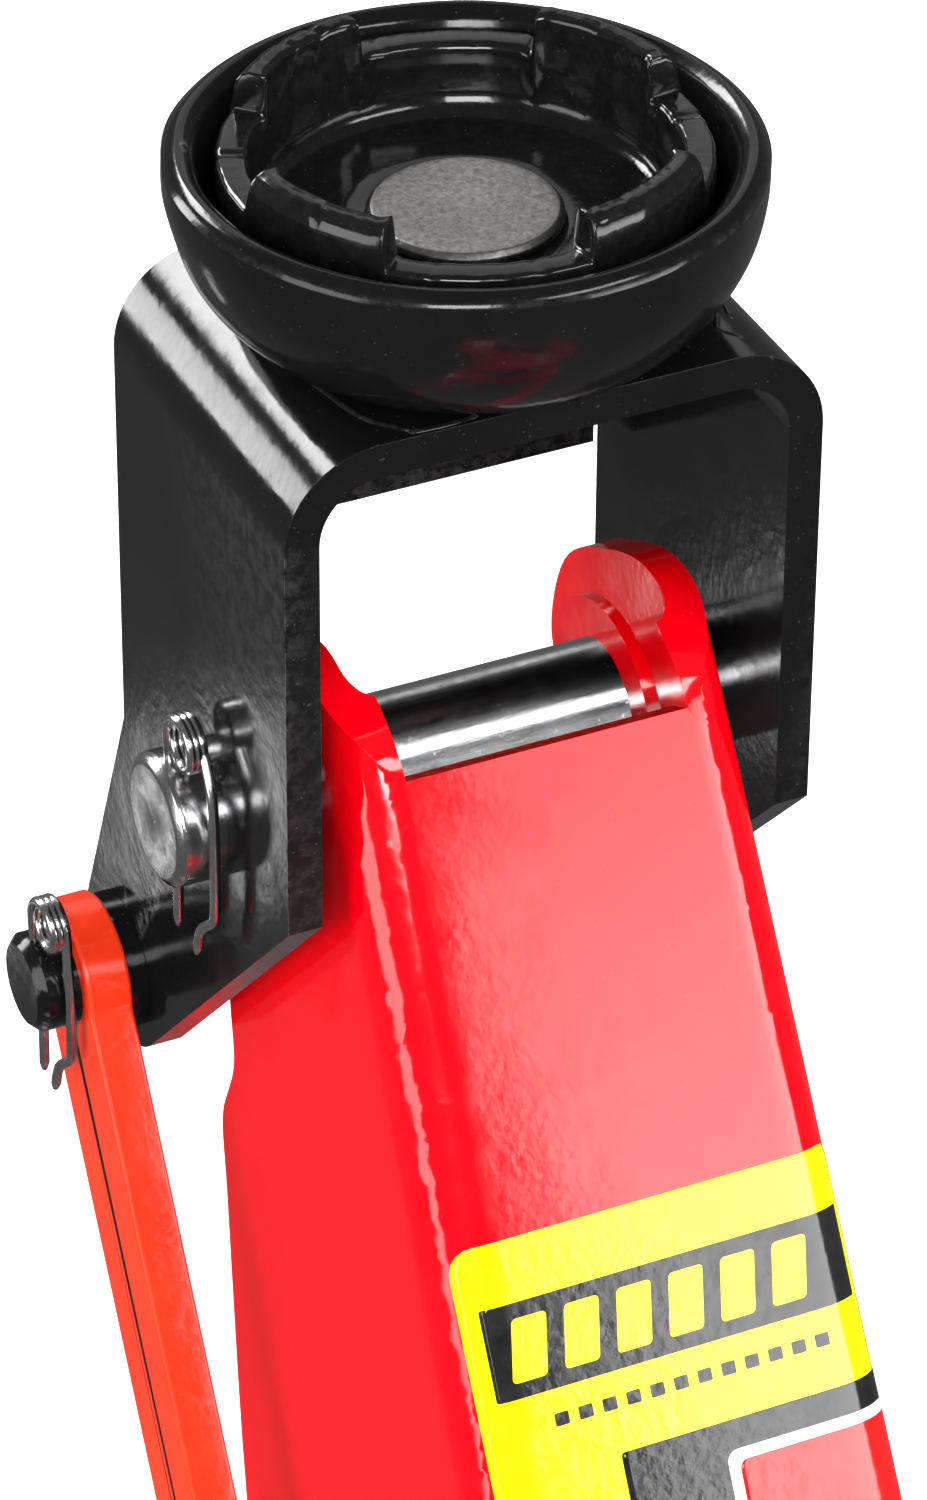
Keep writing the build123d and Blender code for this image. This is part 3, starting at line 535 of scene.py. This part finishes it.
def make_beads():
    """Thick runs of paint left on the yoke's top plate beside the saddle."""
    bend_start, bend_radius, wire_radius, sunk = 30.6, 16, 0.75, 0.35
    runs = (
        ((-24.5, -33.5), (-29.5, -27), (-31.5, -18), (-33.0, -8)),
        ((-25, -34), (-19, -34.3), (-13, -33.8)),
        ((34.5, -14.5), (37.0, -18), (36.0, -23)),
        ((31.5, -20.5), (33.5, -22.5), (32.0, -26.5), (35.0, -29.5)),
    )
    for number, run in enumerate(runs, 1):
        route = []
        for x, y in run:
            over = max(0.0, abs(x) - bend_start)
            drop = bend_radius - math.sqrt(bend_radius ** 2 - over ** 2)
            drop += sunk + 0.25 * noise.noise((x, y, number))
            route.append(Vector((x * MM, pin.y + y * MM, yoke_top - drop * MM)))
        piece = wire(f"yoke_paint_run_{number}", smooth_route(route, 8), wire_radius * MM,
                     looks["black_enamel"])
        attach(piece, "yoke")


# ---------------------------------------------------------------- springs
def make_spring(name, node, body, axis, turns, wire_radius):
    """Coil spring in its node's box; one that lies along Y also has a straight end each way."""
    turn_steps, end_length, gap = 18, 15 * MM, 5 * MM
    low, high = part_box(node)
    centre = (low + high) / 2
    upright = axis == (0, 0, 1)
    size = high - low
    coil = (min(size.x, size.y if upright else size.z) / 2) - wire_radius
    start, end = (low.z, high.z) if upright else (low.y, high.y)
    straight = 0.0 if upright else end_length
    start, end = start + straight + wire_radius, end - straight - wire_radius
    route = []
    steps = turns * turn_steps
    for step in range(steps + 1):
        angle = 2 * math.pi * step / turn_steps
        along = start + (end - start) * step / steps
        a, b = coil * math.cos(angle), coil * math.sin(angle)
        route.append(Vector((centre.x + a, centre.y + b, along)) if upright
                     else Vector((centre.x + a, along, centre.z + b)))
    if straight:
        x, z, reach = centre.x, centre.z, straight - 1 * MM
        before = [Vector((x, start - reach, z)), Vector((x, start - gap, z))]
        after = [Vector((x, end + gap, z)), Vector((x, end + reach, z))]
        route = before + route + after
    piece = wire(name, smooth_route(route, 2), wire_radius, looks["spring_wire"], sides=10)
    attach(piece, body)
    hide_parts(node)
    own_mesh(piece)


# ---------------------------------------------------------------- label on the arm
# The arm's skin: height of the web over the pin, fold radius, half width there and its growth.
WEB, BEND, TIP_HALF, TAPER = 39.0, 10.0, 35.0, 0.024
SKIN_GAP = 0.02


def arm_skin(down, across, lift):
    """A point over the arm's web: down from the pin, across from the middle, lifted clear."""
    half = TIP_HALF + TAPER * down
    flat = half - BEND
    side = math.copysign(1, across)
    over = abs(across) - flat
    reach = BEND + lift
    if over <= 0:
        x, out = across, WEB + lift
    elif over < BEND * math.pi / 2:
        x = side * (flat + reach * math.sin(over / BEND))
        out = WEB - BEND + reach * math.cos(over / BEND)
    else:
        x, out = side * (half + lift), WEB - BEND - (over - BEND * math.pi / 2)
    return pin + Vector((x * MM, 0, 0)) - arm_dir * down * MM + arm_out * out * MM


def make_patch(name, down, across, corner, lift, material, slant=0.0):
    """A thin printed sheet that follows the arm's skin, its corners rounded and sides slanted."""
    rows, columns = 28, 46
    grid = []
    for row in range(rows + 1):
        t = row / rows
        s = down[0] + (down[1] - down[0]) * (0.5 - 0.5 * math.cos(math.pi * t))
        edge = min(s - down[0], down[1] - s)
        inset = 0.0
        if edge < corner:
            inset = corner - math.sqrt(max(0.0, corner ** 2 - (corner - edge) ** 2))
        shift = slant * (s - down[0])
        left, right = across[0] + inset + shift, across[1] - inset + shift
        grid.append([(s, left + (right - left) * c / columns) for c in range(columns + 1)])
    points = [arm_skin(s, w, lift) for line in grid for s, w in line]
    points += [arm_skin(s, w, SKIN_GAP) for line in grid for s, w in line]
    wide = columns + 1
    under = (rows + 1) * wide
    faces = []
    for row in range(rows):
        for column in range(columns):
            a = row * wide + column
            quad = (a, a + wide, a + wide + 1, a + 1)
            faces.append(quad)
            faces.append(tuple(under + i for i in reversed(quad)))
    rim = list(range(wide)) + [r * wide + columns for r in range(1, rows + 1)]
    rim += [rows * wide + c for c in range(columns - 1, -1, -1)]
    rim += [r * wide for r in range(rows - 1, 0, -1)]
    for a, b in zip(rim, rim[1:] + rim[:1]):
        faces.append((a, b, under + b, under + a))
    piece = mesh_piece(name, points, faces, material)
    piece.visible_glossy = False
    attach(piece, "arm")


def make_label():
    """Yellow ground, then plain bars and dashes in place of lettering, and a framed red field."""
    ground, band, print_lift, frame_lift, top_lift = 0.14, 0.17, 0.19, 0.2, 0.23
    bars, first_bar, bar_pitch, bar_width = 6, -26, 9.4, 6.2
    dashes, first_dash, dash_pitch, dash_width = 12, -22, 4.3, 2.5
    make_patch("label_ground", (74, 150), (-34.5, 38.5), 4.5, ground, label_yellow)
    make_patch("label_panel", (84.4, 100), (-31, 35.5), 0.4, print_lift, label_black)
    for i in range(bars):
        left = first_bar + bar_pitch * i
        make_patch(f"label_bar_{i + 1}", (87, 97.4), (left, left + bar_width), 0.8, top_lift,
                   label_yellow, slant=-0.18)
    for i in range(dashes):
        left = first_dash + dash_pitch * i
        make_patch(f"label_dash_{i + 1}", (104, 106.2), (left, left + dash_width), 0.3,
                   print_lift, label_black)
    make_patch("label_band", (113.5, 152), (-12, 38.8), 0.6, band, label_black)
    make_patch("label_frame", (118.5, 152), (6, 39), 2.0, frame_lift, label_white)
    make_patch("label_field", (120.5, 151), (8, 39.1), 1.5, top_lift, label_red)


# ---------------------------------------------------------------- pieces made here
make_dish()
make_crown()
make_rivet()
make_yoke_pin()
make_clip("yoke_pin_clip_look", "yoke_pin_clip", "yoke", pin, YOKE_PIN_RADIUS)
make_clip("link_pin_clip_look", "link_pin_clip", "yoke", link_pin, LINK_PIN_RADIUS)
make_beads()
make_label()
for side in ("left", "right"):
    make_spring(f"return_spring_{side}_look", f"return_spring_{side}", "chassis",
                (0, 1, 0), 44, 0.85 * MM)
make_spring("pump_spring_look", "pump_spring", "chassis", (0, 0, 1),
            6, 1.2 * MM)

# The black paint and bright pins mirror the lights, and not these red parts or the handle.
for node in slot_nodes:
    if node in ("lift_arm", "arm_tip_bosses", "parallel_link") or node.startswith("handle"):
        frame["nodes"][node].visible_glossy = False


# ---------------------------------------------------------------- studio
def glow_panel(name, centre, facing, width, height, strength, top_share=1.0):
    """A softbox: a glowing plane, out of the camera's sight, that can fade towards its top."""
    fade_start, fade_end = 0.62, 0.95
    material = bpy.data.materials.new(name)
    material.use_nodes = True
    tree = material.node_tree
    tree.nodes.clear()
    out = tree.nodes.new("ShaderNodeOutputMaterial")
    light = tree.nodes.new("ShaderNodeEmission")
    place = tree.nodes.new("ShaderNodeTexCoord")
    height_share = tree.nodes.new("ShaderNodeSeparateXYZ")
    fade = tree.nodes.new("ShaderNodeMapRange")
    fade.inputs["From Min"].default_value = fade_start
    fade.inputs["From Max"].default_value = fade_end
    fade.inputs["To Min"].default_value = strength
    fade.inputs["To Max"].default_value = strength * top_share
    tree.links.new(place.outputs["Generated"], height_share.inputs[0])
    tree.links.new(height_share.outputs["Z"], fade.inputs["Value"])
    tree.links.new(fade.outputs["Result"], light.inputs["Strength"])
    tree.links.new(light.outputs[0], out.inputs["Surface"])
    back = facing.normalized()
    side = Vector((0, 0, 1)).cross(back).normalized()
    up = back.cross(side)
    corners = [centre + side * (a * width / 2) + up * (b * height / 2)
               for a, b in ((-1, -1), (1, -1), (1, 1), (-1, 1))]
    panel = mesh_piece(name, corners, [(0, 1, 2, 3)], material, smooth=False)
    panel.visible_camera = False


def make_floor():
    """Plain pale floor that reflections don't see."""
    near, far, grey, roughness = 6, 7, 0.75, 0.7
    material = bpy.data.materials.new("floor")
    material.use_nodes = True
    corners = [(-near, -near, 0), (near, -near, 0), (near, far, 0), (-near, far, 0)]
    floor = mesh_piece("floor", corners, [(0, 1, 2, 3)], material, smooth=False)
    ground = material.node_tree.nodes["Principled BSDF"]
    ground.inputs["Base Color"].default_value = (grey, grey, grey, 1)
    ground.inputs["Roughness"].default_value = roughness
    floor.visible_glossy = False


def make_panels():
    """Softboxes round the head: the front one lies where the arm's web mirrors it."""
    web_mirror = Vector((0.351, -0.882, 0.311)).normalized()
    distance, aside, rise, top_share = 1.5, 0.49, -0.32, 0.35
    side = Vector((0, 0, 1)).cross(web_mirror).normalized()
    up = web_mirror.cross(side)
    centre = pin + web_mirror * distance + side * aside + up * rise
    glow_panel("softbox_front", centre, -web_mirror, 1.1, 0.85, 8.0, top_share)
    for name, offset, width, height, strength in (
        ("softbox_back_low", (-0.95, 1.26, 0.3), 0.36, 0.6, 13.0),
        ("softbox_back_high", (-0.32, 1.25, 0.98), 0.8, 0.3, 21.0),
        ("softbox_left", (-1.5, -0.35, 0.25), 0.85, 0.9, 5.0),
        ("softbox_rear_left", (-0.75, -1.5, 0.85), 0.7, 0.5, 20.0),
        ("card_low", (-0.247, 0.469, -0.36), 0.045, 0.045, 2.2),
        ("strip_high", (0.5, -1.0, 1.02), 0.8, 0.22, 12.0),
        ("card_high", (0.7, 1.48, 1.14), 1.3, 1.1, 0.8),
    ):
        offset = Vector(offset)
        glow_panel(name, pin + offset, -offset, width, height, strength)


def make_pool():
    """A pool of light on the floor behind the head, so that the backdrop there is white."""
    pool = bpy.data.lights.new("pool", "SPOT")
    pool.energy = 500
    pool.spot_size = math.radians(21.5)
    pool.spot_blend = 0.22
    pool.shadow_soft_size = 0.1
    lamp = bpy.data.objects.new("pool", pool)
    bpy.context.scene.collection.objects.link(lamp)
    target = Vector((0.28, pin.y + 0.585, 0))
    lamp.location = target + Vector((0.1, 0.25, 2.7))
    lamp.rotation_euler = (target - lamp.location).to_track_quat("-Z", "Y").to_euler()


def make_sky():
    """A white sky, dim in reflections so that black paint stays black."""
    sky_light, sky_in_reflections = 0.75, 0.13
    world = bpy.data.worlds.new("studio")
    world.use_nodes = True
    sky = world.node_tree.nodes["Background"]
    sky.inputs["Color"].default_value = (1, 1, 1, 1)
    path = world.node_tree.nodes.new("ShaderNodeLightPath")
    shade = world.node_tree.nodes.new("ShaderNodeMapRange")
    shade.inputs["To Min"].default_value = sky_light
    shade.inputs["To Max"].default_value = sky_in_reflections
    world.node_tree.links.new(path.outputs["Is Glossy Ray"], shade.inputs["Value"])
    world.node_tree.links.new(shade.outputs["Result"], sky.inputs["Strength"])
    bpy.context.scene.world = world


def make_camera():
    """A long lens above and to the left of the handle side, looking down at the head."""
    from_pin = Vector((-0.39387, -0.83359, 0.64032))
    azimuth, elevation, roll = (math.radians(a) for a in (-25.336, 34.855, 0.402))
    back = Vector((math.sin(azimuth) * math.cos(elevation),
                   -math.cos(azimuth) * math.cos(elevation), math.sin(elevation)))
    level = Vector((math.cos(azimuth), math.sin(azimuth), 0))
    rise = back.cross(level)
    right = level * math.cos(roll) + rise * math.sin(roll)
    up = rise * math.cos(roll) - level * math.sin(roll)
    lens = bpy.data.cameras.new("camera")
    lens.lens = 162.81
    lens.sensor_width = 36
    camera = bpy.data.objects.new("camera", lens)
    bpy.context.scene.collection.objects.link(camera)
    turn = Matrix((right, up, back)).transposed().to_4x4()
    camera.matrix_world = Matrix.Translation(pin + from_pin) @ turn
    bpy.context.scene.camera = camera


make_floor()
make_panels()
make_pool()
make_sky()
make_camera()
bpy.context.scene.view_settings.view_transform = "Standard"
